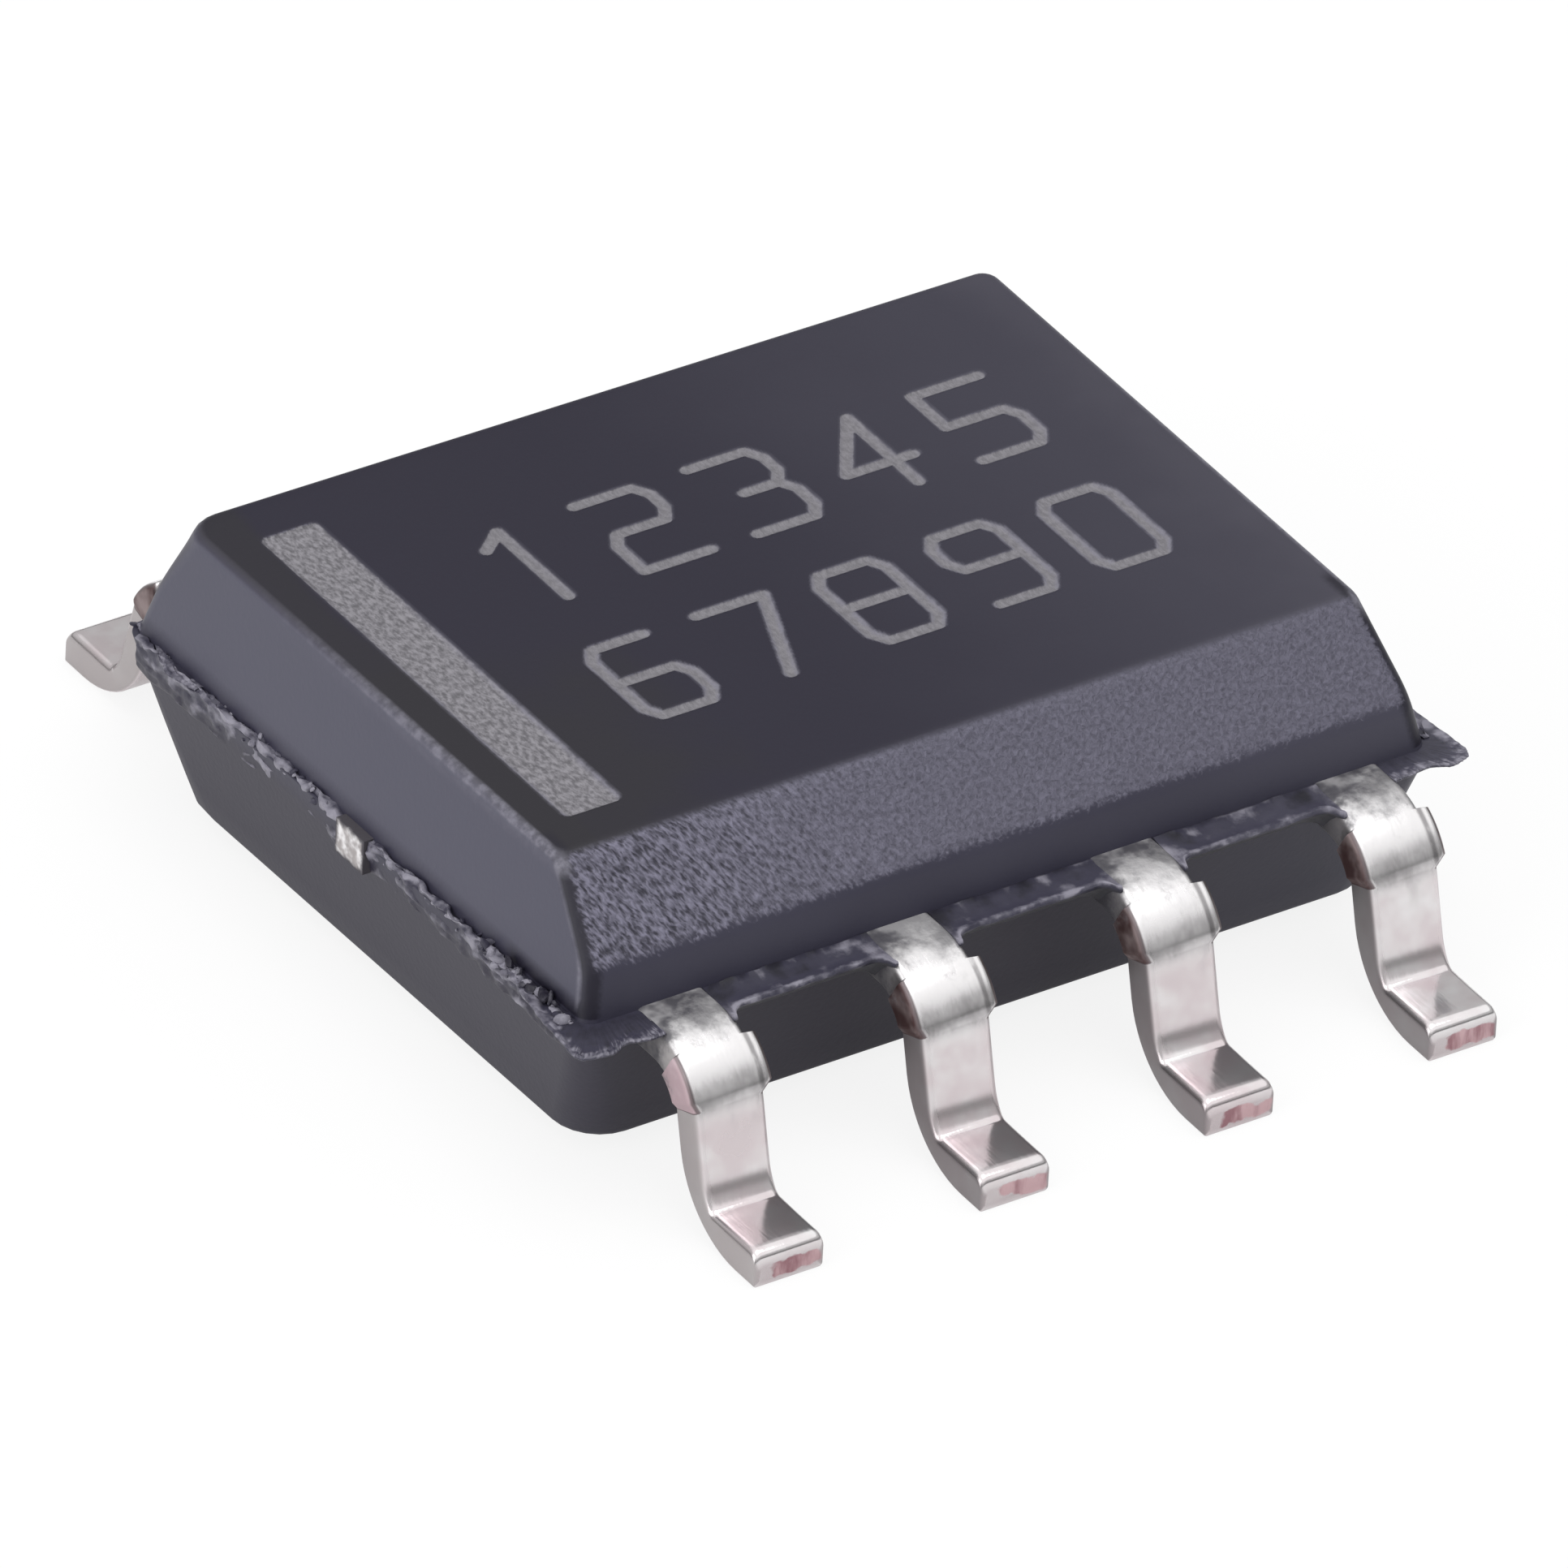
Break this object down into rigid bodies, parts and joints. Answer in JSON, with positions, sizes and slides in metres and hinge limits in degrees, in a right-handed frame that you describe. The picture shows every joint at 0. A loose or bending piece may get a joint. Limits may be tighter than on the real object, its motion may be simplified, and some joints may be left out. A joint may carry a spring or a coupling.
{
  "type": "switching regulator chip",
  "caption": "Small-outline surface-mount regulator chip: dark moulded resin body on a stamped, tin-plated leadframe with gull-wing leads, die and bond wires sealed inside.",
  "frame": {"origin": "centre of the rectangle of feet, in the solder plane under the middle of the body", "axes": "+X runs along the body away from the end with the orientation bar, +Y runs across the leads away from the pin 1 row, +Z points from the solder plane to the marked top"},
  "size_m": [0.0052, 0.006, 0.0016],
  "materials": {
    "resin": "filled moulding resin, matt as moulded, coarse on the bevel",
    "tin": "bright tin plating over copper, with bare copper at the cut ends",
    "copper": "bare copper alloy, tin-bright where the tie bars are cut",
    "attach": "cured silver-filled paste",
    "silicon": "polished silicon",
    "gold": "drawn gold wire"
  },
  "bodies": {
    "root": {"mould_body": "resin", "die_pad": "copper", "die_attach": "attach", "silicon_die": "silicon", "lead_1": "tin", "lead_2": "tin", "lead_3": "tin", "lead_4": "tin", "lead_5": "tin", "lead_6": "tin", "lead_7": "tin", "lead_8": "tin", "bond_wire_1": "gold", "bond_wire_2": "gold", "bond_wire_3": "gold", "bond_wire_4": "gold", "bond_wire_5": "gold", "bond_wire_6": "gold", "bond_wire_7": "gold", "bond_wire_8": "gold"}
  },
  "joints": []
}
